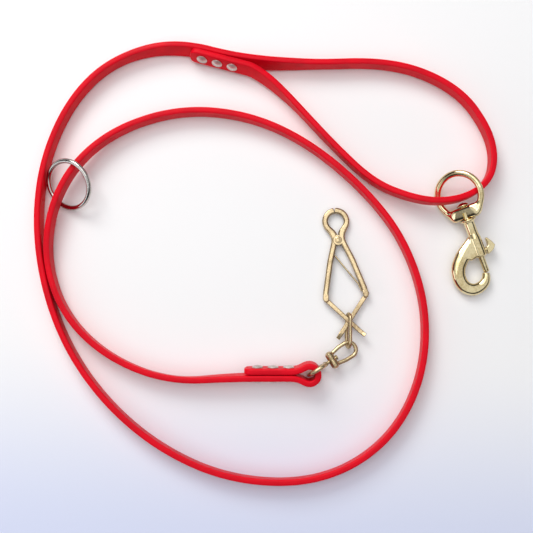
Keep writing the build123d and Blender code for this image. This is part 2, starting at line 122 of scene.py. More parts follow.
def grid_surface(grid: Points, wrap_rows: bool, wrap_columns: bool, capped: bool = False) -> Surface:
    """Quads over a grid of points, with outward faces.

    Args:
        grid: points, rows by columns by three.
        wrap_rows: join the last row to the first.
        wrap_columns: join the last column to the first.
        capped: close the first and last row with a flat face.

    Returns:
        The surface, with UV in metres along rows and columns.
    """
    rows, columns = grid.shape[:2]
    looped_rows = np.concatenate([grid, grid[:1]]) if wrap_rows else grid
    looped_columns = np.concatenate([grid, grid[:, :1]], 1) if wrap_columns else grid
    along = np.linalg.norm(np.diff(looped_rows, axis=0), axis=2).mean(1)
    around = np.linalg.norm(np.diff(looped_columns, axis=1), axis=2).max(0)
    u_at = np.concatenate([[0.0], np.cumsum(along)])
    v_at = np.concatenate([[0.0], np.cumsum(around)])
    row, column = np.meshgrid(np.arange(len(along)), np.arange(len(around)), indexing="ij")
    next_row, next_column = (row + 1) % rows, (column + 1) % columns
    quads = np.stack(
        [row * columns + column, next_row * columns + column,
         next_row * columns + next_column, row * columns + next_column], -1).reshape(-1, 4)
    u_corner = np.stack([row, row + 1, row + 1, row], -1).reshape(-1, 4)
    v_corner = np.stack([column, column, column + 1, column + 1], -1).reshape(-1, 4)
    corners = np.stack([u_at[u_corner], v_at[v_corner]], -1)
    points = grid.reshape(-1, 3)
    caps: list[list[int]] = []
    if capped:
        caps = [list(range(columns)), list(range(rows * columns - 1, (rows - 1) * columns - 1, -1))]
    if signed_volume(points, quads, caps) < 0:
        quads, corners = quads[:, ::-1], corners[:, ::-1]
        caps = [cap[::-1] for cap in caps]
    cap_corners = [np.stack([np.zeros(columns), v_at[:columns]], -1) for _ in caps]
    flat = np.concatenate([corners.reshape(-1, 2), *cap_corners])
    return Surface(points, quads.tolist() + caps, flat)


def rounded_outline(width: float, thick: float, radius: float, steps: int = 5) -> Points:
    """Rectangle outline with quarter-circle corners: centre plus radius times cosine and sine."""
    radius = min(radius, width / 2, thick / 2)
    turn = np.linspace(0, math.pi / 2, steps)
    quarter = np.arange(4)[:, None] * math.pi / 2 + turn[None, :]
    sign = np.array([(1, 1), (-1, 1), (-1, -1), (1, -1)])[:, None, :]
    centre = sign * np.array([width / 2 - radius, thick / 2 - radius])
    corner = centre + radius * np.stack([np.cos(quarter), np.sin(quarter)], -1)
    return corner.reshape(-1, 2)


def oval_outline(width: float, thick: float, steps: int = 28) -> Points:
    """Ellipse outline: half width times cosine, half thickness times sine."""
    turn = np.linspace(0, 2 * math.pi, steps, endpoint=False)
    return np.stack([np.cos(turn) * width / 2, np.sin(turn) * thick / 2], -1)


def carried(line: Points, across: Points, over: Points, outline: Points, wrap: bool = False) -> Surface:
    """A profile carried along a line: line point plus outline x times across plus outline y times over."""
    if outline.ndim == 2:
        outline = np.broadcast_to(outline, (len(line), *outline.shape))
    grid = line[:, None] + outline[..., :1] * across[:, None] + outline[..., 1:] * over[:, None]
    return grid_surface(grid, wrap, True, capped=not wrap)


def spaced(line: Points, step: float) -> Points:
    """The same line with points an even distance apart, by linear interpolation over its length."""
    reach = distances(line)
    marks = np.linspace(0, reach[-1], max(3, int(round(reach[-1] / step)) + 1))
    return np.stack([np.interp(marks, reach, line[:, k]) for k in range(line.shape[1])], -1)


def spaced_loop(loop: Points, step: float) -> Points:
    """A closed line with points an even distance apart, its first point not repeated."""
    return spaced(np.concatenate([loop, loop[:1]]), step)[:-1]


def distances(line: Points) -> Points:
    """Distance along the line at each of its points."""
    return np.concatenate([[0.0], np.cumsum(np.linalg.norm(np.diff(line, axis=0), axis=1))])


def fade(distance: Points, reach: float) -> Points:
    """Falls smoothly from one to zero over the reach: three squares less two cubes of the share left."""
    share = 1 - np.clip(distance / reach, 0, 1)
    return share * share * (3 - 2 * share)


def rounded_off(share: Points, least: float) -> Points:
    """Rises from the least to one as a quarter circle, as the share goes from zero to one."""
    return least + (1 - least) * np.sqrt(1 - (1 - share) ** 2)


def arc(centre: tuple[float, float], radius: float, start: float, end: float, steps: int = 32) -> Points:
    """Circular arc in a plane, angles in degrees."""
    turn = np.radians(np.linspace(start, end, steps))
    return np.stack([centre[0] + radius * np.cos(turn), centre[1] + radius * np.sin(turn)], -1)


def circle(centre: float, radius: float, steps: int) -> Points:
    """A whole circle about a point of the x axis, its first point not repeated."""
    return arc((centre, 0), radius, 0, 360, steps + 1)[:-1]


def smoothed(points: Points, steps: int = 12) -> Points:
    """A smooth line through points: the cubic that leaves each point along its neighbours' chord."""
    ends = np.concatenate([2 * points[:1] - points[1:2], points, 2 * points[-1:] - points[-2:-1]])
    before, first, second, after = ends[:-3], ends[1:-2], ends[2:-1], ends[3:]
    share = np.linspace(0, 1, steps, endpoint=False)[None, :, None]
    before, first, second, after = (each[:, None] for each in (before, first, second, after))
    square = 2 * before - 5 * first + 4 * second - after
    cube = 3 * first - before - 3 * second + after
    line = 0.5 * (2 * first + (second - before) * share + square * share**2 + cube * share**3)
    return np.concatenate([line.reshape(-1, points.shape[1]), points[-1:]])


def rounded_wire(corners: list[tuple[float, float]], radius: float, closed: bool = False) -> Points:
    """Centreline of a bent wire: straight runs joined by arcs of one radius.

    Args:
        corners: corners of the route in its own plane.
        radius: bend radius.
        closed: whether the last corner joins the first.

    Returns:
        The points of the line; each arc is tangent to both runs, radius over the tangent away.
    """
    route = [np.array(corner, float) for corner in corners]
    count = len(route)
    pieces: list[Points] = [] if closed else [route[0][None]]
    for index in range(0 if closed else 1, count if closed else count - 1):
        before, here, after = route[index - 1], route[index], route[(index + 1) % count]
        inward, outward = (before - here), (after - here)
        inward, outward = inward / np.linalg.norm(inward), outward / np.linalg.norm(outward)
        half = math.acos(float(np.clip(inward @ outward, -1, 1))) / 2
        middle = (inward + outward) / np.linalg.norm(inward + outward)
        centre = here + middle * radius / math.sin(half)
        start, end = here + inward * radius / math.tan(half), here + outward * radius / math.tan(half)
        share = np.linspace(0, 1, 14)[:, None]
        spokes = (start - centre) * (1 - share) + (end - centre) * share
        pieces.append(centre + radius * spokes / np.linalg.norm(spokes, axis=1, keepdims=True))
    if not closed:
        pieces.append(route[-1][None])
    return np.concatenate(pieces)


# ---------------------------------------------------------------- places


@dataclass(frozen=True)
class Place:
    """A local frame: origin in millimetres and three unit axes."""

    origin: Points
    x: Points
    y: Points
    z: Points

    @staticmethod
    def along(origin: Points, x_axis: Points, up: Points) -> "Place":
        """Frame with x along an axis and z as near to a given direction as it can be."""
        x_axis = np.asarray(x_axis, float) / np.linalg.norm(x_axis)
        up = np.asarray(up, float) - x_axis * float(np.dot(up, x_axis))
        up = up / np.linalg.norm(up)
        return Place(np.asarray(origin, float), x_axis, np.cross(up, x_axis), up)

    def world(self, local: Points) -> Points:
        """Local millimetres to metres in the shared frame."""
        local = np.asarray(local, float)
        return (self.origin + local[..., :1] * self.x + local[..., 1:2] * self.y
                + local[..., 2:3] * self.z) * MM

    def moved(self, x: float, y: float = 0.0, z: float = 0.0) -> "Place":
        """The same axes from another local point."""
        return Place(self.world(np.array([x, y, z])) / MM, self.x, self.y, self.z)

    def rolled(self, degrees: float) -> "Place":
        """The frame turned about its own x axis."""
        c, s = math.cos(math.radians(degrees)), math.sin(math.radians(degrees))
        return Place(self.origin, self.x, self.y * c + self.z * s, self.z * c - self.y * s)

    def flat(self, line: Points, height: float | Points = 0.0) -> Points:
        """Points of the local xy plane at a height, in metres."""
        return self.world(np.column_stack([line, np.full(len(line), height)]))

    def carried(self, line: Points, outline: Points, height: float | Points = 0.0,
                wrap: bool = False) -> Surface:
        """A profile carried along a line of the local xy plane, outline x in the plane, y along z."""
        ahead, behind = np.roll(line, -1, 0), np.roll(line, 1, 0)
        if not wrap:
            ahead[-1], behind[0] = line[-1], line[0]
        tangent = ahead - behind
        tangent = tangent / np.linalg.norm(tangent, axis=1, keepdims=True)
        across = np.stack([-tangent[:, 1], tangent[:, 0]], -1) @ np.stack([self.x, self.y])
        over = np.broadcast_to(self.z, across.shape)
        return carried(self.flat(line, height), across, over, outline * MM, wrap)

    def turned(self, profile: Points, axis: str = "x", steps: int = 64) -> Surface:
        """A surface of revolution.

        Args:
            profile: pairs of distance along the axis and radius, ends at radius near zero.
            axis: which local axis it turns about, x or z.
            steps: facets round the axis.

        Returns:
            Points at radius times cosine and sine of the turn, closed at both ends.
        """
        profile = np.asarray(profile, float)
        turn = np.linspace(0, 2 * math.pi, steps, endpoint=False)[None, :]
        along = np.broadcast_to(profile[:, :1], (len(profile), steps))
        first, second = profile[:, 1:] * np.cos(turn), profile[:, 1:] * np.sin(turn)
        local = [along, first, second] if axis == "x" else [first, second, along]
        return grid_surface(self.world(np.stack(local, -1)), False, True, capped=True)

    def bore(self, start: float, end: float, radius: float, axis: str, steps: int) -> Surface:
        """A plain cylinder about a local axis, to take away as a hole."""
        profile = np.array([(start, 0.01), (start, radius), (end, radius), (end, 0.01)])
        return self.turned(profile, axis, steps)

    def slab(self, outline: Points, low: float, high: float, edge: float) -> Surface:
        """A flat plate with softened edges: its outline drawn in at both faces by a quarter circle."""
        ahead, behind = np.roll(outline, -1, 0), np.roll(outline, 1, 0)
        tangent = ahead - behind
        normal = np.stack([tangent[:, 1], -tangent[:, 0]], -1)
        normal = normal / np.linalg.norm(tangent, axis=1, keepdims=True)
        area = float(np.sum(outline[:, 0] * ahead[:, 1] - ahead[:, 0] * outline[:, 1]))
        normal = normal if area > 0 else -normal
        turn = np.linspace(0, math.pi / 2, 4)
        draw = edge * (1 - np.sin(turn))
        rise = edge * (1 - np.cos(turn))
        inset = np.concatenate([draw, draw[::-1]])
        level = np.concatenate([low + rise, high - rise[::-1]])
        local = outline[None] - normal[None] * inset[:, None, None]
        height = np.broadcast_to(level[:, None, None], (*local.shape[:2], 1))
        return grid_surface(self.world(np.concatenate([local, height], -1)), False, True, capped=True)


def dome(radius: float, low: float, high: float, steps: int = 10) -> Points:
    """Profile of a shallow dome, from its rim up to its top: a circle centred on the axis."""
    rise = high - low
    ball = (radius * radius + rise * rise) / (2 * abs(rise))
    out = np.linspace(radius, 0.02, steps)
    drop = ball - np.sqrt(ball * ball - out * out)
    return np.stack([high - math.copysign(1, rise) * drop, out], -1)


# ---------------------------------------------------------------- shader maths


class Wire:
    """A shader value whose arithmetic adds Math nodes."""

    def __init__(self, graph: "Graph", socket: bpy.types.NodeSocket) -> None:
        """Wraps one output socket."""
        self.graph, self.socket = graph, socket

    def _math(self, operation: str, first: object, second: object) -> "Wire":
        """One Math node on two values or links."""
        return self.graph.node("ShaderNodeMath", {"operation": operation}, {0: first, 1: second})

    def __add__(self, other: object) -> "Wire":
        """Sum."""
        return self._math("ADD", self, other)

    def __rsub__(self, other: object) -> "Wire":
        """The value taken away from a number."""
        return self._math("SUBTRACT", other, self)

    def __mul__(self, other: object) -> "Wire":
        """Product."""
        return self._math("MULTIPLY", self, other)

    def output(self, number: int) -> "Wire":
        """Another output of the same node."""
        return Wire(self.graph, self.socket.node.outputs[number])

    def sine(self) -> "Wire":
        """Sine of the value."""
        return self.graph.node("ShaderNodeMath", {"operation": "SINE"}, {0: self})

    def step(self, low: float, high: float) -> "Wire":
        """The value's place between two limits, kept from zero to one and eased."""
        return self.graph.node("ShaderNodeMapRange", {"interpolation_type": "SMOOTHSTEP"},
                               {"Value": self, "From Min": low, "From Max": high})


class Graph:
    """A material's node tree with one Principled shader."""

    def __init__(self, name: str, settings: dict[str, object]) -> None:
        """Makes the material; settings are constants on the shader's own sockets."""
        self.material = bpy.data.materials.new(name)
        self.material.use_nodes = True
        self.tree = self.material.node_tree
        self.shader = next(n for n in self.tree.nodes if n.type == "BSDF_PRINCIPLED")
        for socket, value in settings.items():
            self.shader.inputs[socket].default_value = value

    def node(self, kind: str, settings: dict[str, object], sockets: dict[object, object],
             output: object = 0) -> Wire:
        """Adds one node.

        Args:
            kind: the node's type.
            settings: attributes of the node.
            sockets: values or links by socket name or number.
            output: which output to return.

        Returns:
            The chosen output as a wire.
        """
        made = self.tree.nodes.new(kind)
        for key, value in settings.items():
            setattr(made, key, value)
        for key, value in sockets.items():
            if isinstance(value, Wire):
                self.tree.links.new(value.socket, made.inputs[key])
            else:
                made.inputs[key].default_value = value
        return Wire(self, made.outputs[output])

    def coordinates(self, which: str, scale: tuple[float, float, float]) -> Wire:
        """Object or UV coordinates, scaled."""
        source = self.node("ShaderNodeTexCoord", {}, {}, which)
        return self.node("ShaderNodeMapping", {}, {"Vector": source, "Scale": scale})

    def noise(self, where: Wire, scale: float, detail: float = 3.0) -> Wire:
        """Noise between about zero and one."""
        return self.node("ShaderNodeTexNoise", {}, {"Vector": where, "Scale": scale, "Detail": detail})

    def mix(self, share: Wire, first: tuple, second: object) -> Wire:
        """Colour between two colours."""
        sockets = {0: share, 6: (*first, 1.0), 7: second if isinstance(second, Wire) else (*second, 1.0)}
        return self.node("ShaderNodeMix", {"data_type": "RGBA"}, sockets, 2)

    def link(self, socket: str, value: Wire) -> None:
        """Links a value into the shader."""
        self.tree.links.new(value.socket, self.shader.inputs[socket])

    def bump(self, height: Wire, depth: float, strength: float = 1.0) -> None:
        """Raises the surface's relief by a height in zero to one times a depth in metres."""
        relief = self.node("ShaderNodeBump", {}, {"Strength": strength, "Distance": depth, "Height": height})
        self.link("Normal", relief)


# ---------------------------------------------------------------- finishes


@dataclass(frozen=True)
class Metal:
    """A plated, polished or cast metal finish."""

    name: str
    slot: str
    bright: tuple[float, float, float]
    dull: tuple[float, float, float]
    smooth: float
    rough: float
    grain: float
    relief: float

    def material(self) -> bpy.types.Material:
        """Metal whose colour and roughness wander, with hairlines and a fine relief."""
        graph = Graph(self.name, {"Metallic": 1.0, "IOR": 1.5})
        where = graph.coordinates("Object", (1.0, 1.0, 1.0))
        stretched = graph.coordinates("Object", (1.0, 7.0, 2.5))
        cloud = graph.noise(where, 90.0, 4.0)
        fine = graph.noise(where, self.grain, 5.0)
        hairs = graph.noise(stretched, self.grain * 0.8, 3.0).step(0.58, 0.72)
        tarnish = (cloud * 0.7 + fine * 0.4).step(0.42, 0.75)
        graph.link("Base Color", graph.mix(tarnish, self.bright, self.dull))
        spread = self.rough - self.smooth
        graph.link("Roughness", tarnish * (spread * 0.7) + hairs * (spread * 0.5) + self.smooth)
        graph.bump(fine * 0.8 + hairs * 0.2, self.relief)
        return graph.material


@dataclass(frozen=True)
class CoatedStrap:
    """Glossy red coating over woven webbing."""

    name: str = "red_coated_webbing"
    slot: str = "strap"
    red: tuple[float, float, float] = (0.78, 0.001, 0.014)
    deep: tuple[float, float, float] = (0.66, 0.001, 0.012)
    # Paler red painted on the strap's rounded edges as a highlight.
    highlight_red: tuple[float, float, float] = (0.88, 0.012, 0.03)
    rib_pitch: float = 0.0014
    yarn_pitch: float = 0.0019

    def material(self) -> bpy.types.Material:
        """Ribs across and yarns along show faintly under the coat; the rounded edges are painted a paler red
        as a highlight, and made duller.
        """
        settings = {"IOR": 1.45, "Coat Roughness": 0.3, "Specular IOR Level": 0.08}
        graph = Graph(self.name, settings)
        spread = graph.node("ShaderNodeSeparateXYZ", {}, {0: graph.node("ShaderNodeTexCoord", {}, {}, "UV")})
        along, around = spread, spread.output(1)
        where = graph.coordinates("Object", (1.0, 1.0, 1.0))
        wander = graph.noise(where, 60.0, 3.0)
        grain = graph.noise(where, 900.0, 4.0)
        ribs = ((along * (2 * math.pi / self.rib_pitch)) + wander * 1.5).sine() * 0.5 + 0.5
        yarns = (around * (2 * math.pi / self.yarn_pitch)).sine() * 0.5 + 0.5
        edge = graph.node("ShaderNodeAttribute", {"attribute_name": "edge_highlight_mask"}, {}, "Fac")
        # Painted highlight: the rounded edges, broken up by noise, are painted paler red; the same mask makes
        # them rougher with less coat.
        highlit_edges = (edge * (wander * 0.9 + 0.45)).step(0.35, 1.0)
        body = graph.mix(wander.step(0.35, 0.7), self.red, self.deep)
        graph.link("Base Color", graph.node("ShaderNodeMix", {"data_type": "RGBA"},
                                            {0: highlit_edges * 0.7, 6: body, 7: (*self.highlight_red, 1.0)}, 2))
        graph.link("Roughness", grain * 0.16 + highlit_edges * 0.1 + 0.36)
        graph.link("Coat Weight", 0.10 - highlit_edges * 0.06)
        graph.bump(ribs * yarns * 0.55 + grain * 0.45, 0.00006)
        return graph.material


class Finish:
    """Every finish on the leash; a metal gives two colours, two roughnesses, grain and relief."""

    STRAP = CoatedStrap()
    NICKEL = Metal("nickel_plate", "rivet", (0.70, 0.66, 0.62), (0.48, 0.43, 0.39),
                   0.30, 0.46, 1500.0, 0.00002)
    RING = Metal("ring_plate", "ring_steel", (0.60, 0.58, 0.55), (0.36, 0.34, 0.31),
                 0.06, 0.18, 1200.0, 0.00002)
    SPRING = Metal("spring_wire", "spring_steel", (0.55, 0.55, 0.56), (0.30, 0.30, 0.31),
                   0.25, 0.45, 2500.0, 0.00002)
    SNAP = Metal("polished_gold_brass", "snap_brass", (0.88, 0.76, 0.46), (0.60, 0.46, 0.22),
                 0.05, 0.18, 700.0, 0.000015)
    WIRE = Metal("dull_brass_wire", "wire_brass", (0.60, 0.48, 0.28), (0.30, 0.22, 0.12),
                 0.24, 0.46, 1100.0, 0.00005)
    CLIP = Metal("satin_cast_brass", "clip_brass", (0.50, 0.39, 0.23), (0.25, 0.18, 0.10),
                 0.15, 0.32, 900.0, 0.00005)


@cache
def material_of(finish: Metal | CoatedStrap) -> bpy.types.Material:
    """The material of a finish, made once."""
    return finish.material()


# ---------------------------------------------------------------- pieces


def in_scene(name: str, data: bpy.types.ID) -> bpy.types.Object:
    """A new object in the scene that holds a mesh, curve, lamp or camera."""
    made = bpy.data.objects.new(name, data)
    bpy.context.scene.collection.objects.link(made)
    return made


def mesh_object(name: str, surface: Surface) -> bpy.types.Object:
    """A mesh object at the origin with UVs."""
    mesh = bpy.data.meshes.new(name)
    mesh.from_pydata(surface.points.tolist(), [], surface.faces)
    layer = mesh.uv_layers.new(name="length_and_girth")
    layer.data.foreach_set("uv", surface.corners.astype(np.float32).ravel())
    return in_scene(name, mesh)


def baked(source: bpy.types.Object) -> bpy.types.Object:
    """The object with its modifiers applied; the source is removed."""
    graph = bpy.context.evaluated_depsgraph_get()
    graph.update()
    mesh = bpy.data.meshes.new_from_object(source.evaluated_get(graph))
    name = source.name
    bpy.data.objects.remove(source)
    return in_scene(name, mesh)


def cast(name: str, surface: Surface, voxel: float, smoothing: int) -> bpy.types.Object:
    """Overlapping shells fused as one casting with softened joins.

    Args:
        name: the object's name.
        surface: closed shells that overlap.
        voxel: cell size of the fusing grid, millimetres.
        smoothing: rounds of smoothing.

    Returns:
        One closed mesh object.
    """
    made = mesh_object(name, surface)
    fuse = made.modifiers.new("fuse", "REMESH")
    fuse.mode, fuse.voxel_size, fuse.use_smooth_shade = "VOXEL", voxel * MM, True
    if smoothing:
        soften = made.modifiers.new("soften", "SMOOTH")
        soften.factor, soften.iterations = 0.5, smoothing
    return baked(made)


def combined(target: bpy.types.Object, tool: Surface, operation: str = "DIFFERENCE") -> bpy.types.Object:
    """The target with the tool's space taken away, or added when the operation is UNION."""
    other = mesh_object("tool", tool)
    change = target.modifiers.new("combine", "BOOLEAN")
    change.operation, change.solver, change.object = operation, "EXACT", other
    made = baked(target)
    bpy.data.objects.remove(other)
    return made


def settle(piece: bpy.types.Object, body: str, finish: Metal | CoatedStrap, nodes: tuple[str, ...],
           sharp: float = 38.0) -> None:
    """Dresses a piece, puts it on its body and lets it stand for its CAD nodes."""
    piece.data.materials.clear()
    piece.data.materials.append(material_of(finish))
    piece.data.polygons.foreach_set("use_smooth", np.ones(len(piece.data.polygons), bool))
    piece.data.set_sharp_from_angle(angle=math.radians(sharp))
    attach(piece, body)
    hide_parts(*nodes)
    log.info("%s rides on %s, %d faces", piece.name, body, len(piece.data.polygons))


@dataclass
class Strap:
    """The flat strap from the clip end's fold to the handle's riveted tab."""

    width: float = 13.0
    thick: float = 4.2
    edge: float = 1.35
    gap: float = 0.4
    rest: float = 6.55
    fold_radius: float = 6.0
    fold_at: float = -24.6
    clip_pitch: float = 10.6
    handle_pitch: float = 11.0
    clip_at: tuple[float, float, float] = (5.2, -79.4, 10.0)
    clip_lean: float = 10.0
    handle_at: tuple[float, float, float] = (-33.2, 142.4, 7.56)
    handle_turn: float = -15.0
    handle_lean: float = 18.0
    length: float = 1.8234
    clip_lean_held: float = 105.0
    clip_lean_fades: float = 60.0
    handle_lean_held: float = 26.0
    handle_lean_fades: float = 50.0
    rounded_tail: float = 6.5
    narrowed_head: float = 3.6
    softened_end: float = 0.9
    clip_seam: Place = field(init=False)
    handle_seam: Place = field(init=False)

    def __post_init__(self) -> None:
        """Works out the frames of both seams."""
        self.clip_seam = self.seam(self.clip_at, 180.0, self.clip_lean)
        self.handle_seam = self.seam(self.handle_at, self.handle_turn, self.handle_lean)

    @staticmethod
    def seam(at: tuple[float, float, float], heading: float, lean: float) -> Place:
        """Frame of a seam: x along the strap, z through both layers."""
        turn, tip = math.radians(heading), math.radians(lean)
        along = np.array([math.cos(turn), math.sin(turn), 0.0])
        flat = np.array([math.sin(turn), -math.cos(turn), 0.0])
        return Place.along(np.array(at), along, flat * math.cos(tip) + np.array([0, 0, math.sin(tip)]))

    def route(self) -> Points:
        """Control points of the strap's line, metres, from the clip end's tab to the handle's tab."""
        layer = (self.thick + self.gap) / 2
        out = self.fold_radius / math.cos(math.radians(30))
        fold = self.clip_seam.world(np.array([
            (19.5, 0, layer), (-7.4, 0, layer), (self.fold_at + 8, 0, layer), (self.fold_at, 0, out),
            (self.fold_at - self.fold_radius, 0, out / 2), (self.fold_at - self.fold_radius, 0, -out / 2),
            (self.fold_at, 0, -out), (self.fold_at + 8, 0, -layer), (-7.4, 0, -layer), (26, 0, -layer)])) / MM
        rest = self.rest
        spiral = np.array([
            (-66, -84.9, 7.0), (-109, -68, rest), (-139, -39, rest), (-152.3, -2, 6.9), (-148.6, 35, 10.6),
            (-132, 67.5, 10.8), (-102, 92.8, 6.9), (-58, 105.6, rest), (-12, 101, rest), (29, 82, rest),
            (67.5, 49.5, rest), (95, 14, rest), (110, -31, rest), (108, -77, rest), (90, -116, rest),
            (59, -142, rest), (20, -153.3, rest), (-28, -149, rest), (-71, -130, rest), (-107, -101, rest),
            (-135, -64, rest), (-152.5, -21, rest), (-159.8, 26, rest), (-155, 72, rest), (-136, 115, rest),
            (-106.5, 142.5, 6.7)])
        joint = self.handle_seam.world(np.array([(-32.5, 0, -layer), (20.5, 0, -layer)])) / MM
        handle = np.array([
            (36, 137.6, 6.9), (78, 139.0, rest), (110, 132.2, rest), (138.5, 115.5, rest), (154.6, 91, rest),
            (159.4, 71, 6.9), (155, 53.4, 8.2), (140.5, 42.4, 9.8), (121, 38, 11.4), (101.5, 41, 9.6),
            (75.5, 52, 7.0), (49.5, 77, rest), (14, 116.5, 6.8)])
        tab = self.handle_seam.world(np.array([(27.5, 0, layer), (15.5, 0, layer), (-20, 0, layer)])) / MM
        return np.concatenate([fold, spiral, joint, handle, tab]) * MM

    def line(self) -> Points:
        """The strap's middle line, read from a smooth spline over the route."""
        curve = bpy.data.curves.new("strap_line", "CURVE")
        curve.dimensions = "3D"
        points = self.route()
        spline = curve.splines.new("NURBS")
        spline.points.add(len(points) - 1)
        spline.points.foreach_set("co", np.column_stack([points, np.ones(len(points))]).ravel())
        spline.order_u = 3
        spline.use_endpoint_u = True
        spline.resolution_u = 24
        holder = in_scene("strap_line", curve)
        mesh = bpy.data.meshes.new_from_object(holder)
        read = np.empty(len(mesh.vertices) * 3)
        mesh.vertices.foreach_get("co", read)
        bpy.data.objects.remove(holder)
        bpy.data.meshes.remove(mesh)
        return spaced(read.reshape(-1, 3), 0.0015)

    def build(self) -> None:
        line = self.line()
        reach = distances(line) / MM
        total = reach[-1]
        tangent = np.gradient(line, axis=0)
        tangent /= np.linalg.norm(tangent, axis=1, keepdims=True)
        at_clip = fade(reach - self.clip_lean_held, self.clip_lean_fades)
        off = np.linalg.norm(line / MM - self.handle_seam.origin, axis=1)
        near_handle = fade(off - self.handle_lean_held, self.handle_lean_fades)
        at_handle = np.where(reach > total / 2, near_handle, 0.0)
        stand = np.array([0.0, 0.0, 1.0])
        clip_up = self.clip_seam.y * math.copysign(1, self.clip_seam.y[2])
        handle_up = self.handle_seam.y * math.copysign(1, self.handle_seam.y[2])
        width = (stand * (1 - at_clip - at_handle)[:, None] + clip_up * at_clip[:, None]
                 + handle_up * at_handle[:, None])
        side = np.cross(tangent, width)
        side /= np.linalg.norm(side, axis=1, keepdims=True)
        over = np.cross(side, tangent)
        outline = rounded_outline(self.thick, self.width, self.edge, 7)
        stations = np.repeat(outline[None], len(line), 0) * MM
        tail = np.clip((total - reach) / self.rounded_tail, 0, 1)
        head = np.clip(reach / self.narrowed_head, 0, 1)
        stations[:, :, 1] *= rounded_off(tail, 0.42)[:, None]
        stations[:, :, 1] *= (0.62 + 0.38 * head)[:, None]
        ends = np.clip(np.minimum(reach, total - reach) / self.softened_end, 0, 1)
        stations *= rounded_off(ends, 0.72)[:, None, None]
        surface = carried(line, side, over, stations)
        strap = mesh_object("coated_strap", surface)
        # Mask of the section's rounded edges, where the strap's painted highlight goes.
        bend = np.abs(outline) - (np.array([self.thick, self.width]) / 2 - self.edge)
        near = np.clip(np.minimum(bend[:, 0], bend[:, 1]) / self.edge, 0, 1)
        attribute = strap.data.attributes.new("edge_highlight_mask", "FLOAT", "POINT")
        attribute.data.foreach_set("value", np.tile(near / near.max(), len(line)).astype(np.float32))
        settle(strap, "leash", Finish.STRAP, ("strap",), sharp=60.0)
        log.info("strap line %.1f mm", total)


@dataclass
class RivetRows:
    """The double-cap rivets through both seams."""

    strap: Strap
    cap: float = 7.6
    height: float = 1.7
    rim: float = 0.6
    post: float = 2.9

    def head(self, face: float, way: float, shank: float) -> Points:
        """Profile of one cap, from inside the joint out to the dome's top.

        Args:
            face: distance of the strap's face from the seam.
            way: 1 for the upper face, -1 for the lower.
            shank: how far the part goes back into the joint; zero for the plain cap.
        """
        radius, hole = self.cap / 2, self.post / 2
        stem = [(face * way, 0.02)]
        if shank:
            stem = [(-way * shank, 0.02), (-way * shank, hole), (face * way, hole)]
        rise = dome(radius - self.rim * 0.55, (face + self.rim) * way, (face + self.height) * way, 12)
        under = np.array([(face * way, radius - self.rim * 0.5)])
        half = self.rim * 0.5
        out, up = arc((0, 0), half, -90, 90, 9).T
        outer = np.stack([(face + half + up) * way, radius - half + out], -1)
        return np.concatenate([np.array(stem), under, outer, rise])

    def build(self) -> None:
        """Twelve turned pieces, a post and a cap for each rivet."""
        face = (self.strap.gap / 2) + self.strap.thick
        rows = (("handle", self.strap.handle_seam, self.strap.handle_pitch),
                ("clip_end", self.strap.clip_seam, self.strap.clip_pitch))
        for name, seam, pitch in rows:
            for number in range(3):
                place = seam.moved((number - 1) * pitch)
                post = place.turned(self.head(face, -1, face + 0.4), "z", 72)
                cap = place.turned(self.head(face, 1, 0.0), "z", 72)
                for half, surface in (("post", post), ("cap", cap)):
                    node = f"{name}_rivet_{number + 1}_{half}"
                    settle(mesh_object(node + "_turned", surface), "leash", Finish.NICKEL, (node,))


@dataclass
class LooseRing:
    """The plated ring threaded on the strap."""

    radius: float = 16.75
    wire: float = 3.5
    across: tuple[float, float, float] = (0.834, 0.0, 0.39)
    through: tuple[float, float, float] = (-0.39, -0.39, 0.834)

    def build(self) -> None:
        """Round wire carried round a circle."""
        low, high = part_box("o_ring")
        centre = np.array((low + high) / 2) / MM
        place = Place.along(centre, np.array(self.across), np.array(self.through))
        section = oval_outline(self.wire, self.wire, 32)
        surface = place.carried(circle(0, self.radius, 160), section, wrap=True)
        settle(mesh_object("loose_ring_wire", surface), "loose_ring", Finish.RING, ("o_ring",))


